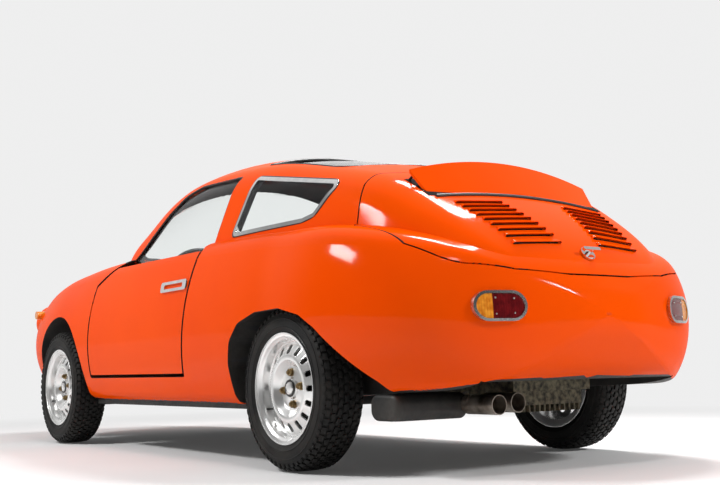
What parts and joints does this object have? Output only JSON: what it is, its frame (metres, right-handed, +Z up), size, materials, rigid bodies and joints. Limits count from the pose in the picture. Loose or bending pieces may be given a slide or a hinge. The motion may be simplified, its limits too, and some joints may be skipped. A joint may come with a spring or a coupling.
{
  "type": "sports coupe",
  "caption": "Small rear-engined two-door fastback coupe with opening doors and lids, louvred engine lid with a propped air flap, and steered front wheels",
  "frame": {"origin": "on the ground under the middle of the car's box", "axes": "+X forwards, +Y to the car's left, +Z up"},
  "size_m": [3.48, 1.3813, 1.1531],
  "materials": {
    "paint": "gloss orange-red paint",
    "glass": "clear, faintly green safety glass",
    "bright_trim": "polished chrome trim",
    "lamp_glass": "clear fluted lamp glass",
    "lens_red": "dark red lens",
    "lens_amber": "amber lens",
    "lining": "dark grey headlining",
    "underbody": "black underbody coating",
    "upholstery": "black leathercloth",
    "dash": "crackle black",
    "steering_rim": "black rim on bright spokes",
    "engine_alloy": "oily cast alloy",
    "black_steel": "black chassis paint, worn",
    "rusty_steel": "heat-marked steel with rust",
    "rim_alloy": "polished alloy",
    "tyre": "black rubber"
  },
  "bodies": {
    "root": {"body_shell": "paint", "windscreen": "glass", "rear_window": "glass", "quarter_glasses": "glass", "quarter_frames": "bright_trim", "headlining": "lining", "floor_pan": "underbody", "tail_lamps_red": "lens_red", "tail_lamps_amber": "lens_amber", "lamp_bezels": "bright_trim", "headlamps": "lamp_glass", "front_indicators": "lens_amber", "grille": "bright_trim", "seat_left": "upholstery", "seat_right": "upholstery", "dashboard": "dash", "steering_column": "dash", "engine_block": "engine_alloy", "oil_sump": "engine_alloy", "silencer": "black_steel", "exhaust_tips": "rusty_steel", "rear_arms": "black_steel", "front_axle": "black_steel"},
    "door_left": {"door_left": "paint", "door_glass_left": "glass", "door_handle_left": "bright_trim"},
    "door_right": {"door_right": "paint", "door_glass_right": "glass", "door_handle_right": "bright_trim"},
    "front_lid": {"front_lid": "paint"},
    "engine_lid": {"engine_lid": "paint", "air_flap": "paint", "flap_stays": "black_steel", "lid_catch": "bright_trim"},
    "steering_wheel": {"steering_wheel": "steering_rim"},
    "knuckle_left": {"knuckle_left": "black_steel"},
    "knuckle_right": {"knuckle_right": "black_steel"},
    "wheel_front_left": {"rim_front_left": "rim_alloy", "tyre_front_left": "tyre"},
    "wheel_front_right": {"rim_front_right": "rim_alloy", "tyre_front_right": "tyre"},
    "wheel_rear_left": {"rim_rear_left": "rim_alloy", "tyre_rear_left": "tyre"},
    "wheel_rear_right": {"rim_rear_right": "rim_alloy", "tyre_rear_right": "tyre"}
  },
  "joints": [
    {"name": "open_door_left", "type": "hinge", "parent": "root", "child": "door_left", "pos_m": [0.618, 0.664, 0.5], "axis": [0, 0, -1], "range_deg": [0, 65]},
    {"name": "open_door_right", "type": "hinge", "parent": "root", "child": "door_right", "pos_m": [0.618, -0.664, 0.5], "axis": [0, 0, 1], "range_deg": [0, 65]},
    {"name": "open_front_lid", "type": "hinge", "parent": "root", "child": "front_lid", "pos_m": [0.65, 0, 0.806], "axis": [0, -1, 0], "range_deg": [0, 60]},
    {"name": "open_engine_lid", "type": "hinge", "parent": "root", "child": "engine_lid", "pos_m": [-1.195, 0, 0.945], "axis": [0, 1, 0], "range_deg": [0, 50]},
    {"name": "steer_left", "type": "hinge", "parent": "root", "child": "knuckle_left", "pos_m": [1, 0.5, 0.253], "axis": [0, 0, 1], "range_deg": [-28, 28]},
    {"name": "steer_right", "type": "hinge", "parent": "root", "child": "knuckle_right", "pos_m": [1, -0.5, 0.253], "axis": [0, 0, 1], "range_deg": [-28, 28]},
    {"name": "turn_steering_wheel", "type": "hinge", "parent": "root", "child": "steering_wheel", "pos_m": [0.185, 0.285, 0.665], "axis": [-0.9063, 0, 0.4226], "range_deg": [-364, 364]},
    {"name": "roll_front_left", "type": "hinge", "parent": "knuckle_left", "child": "wheel_front_left", "pos_m": [1, 0.575, 0.253], "axis": [0, 1, 0], "continuous": true},
    {"name": "roll_front_right", "type": "hinge", "parent": "knuckle_right", "child": "wheel_front_right", "pos_m": [1, -0.575, 0.253], "axis": [0, 1, 0], "continuous": true},
    {"name": "roll_rear_left", "type": "hinge", "parent": "root", "child": "wheel_rear_left", "pos_m": [-1, 0.575, 0.253], "axis": [0, 1, 0], "continuous": true},
    {"name": "roll_rear_right", "type": "hinge", "parent": "root", "child": "wheel_rear_right", "pos_m": [-1, -0.575, 0.253], "axis": [0, 1, 0], "continuous": true}
  ],
  "couplings": [
    {"joint": "steer_right", "follows": "steer_left", "ratio": 1},
    {"joint": "turn_steering_wheel", "follows": "steer_left", "ratio": 13}
  ]
}
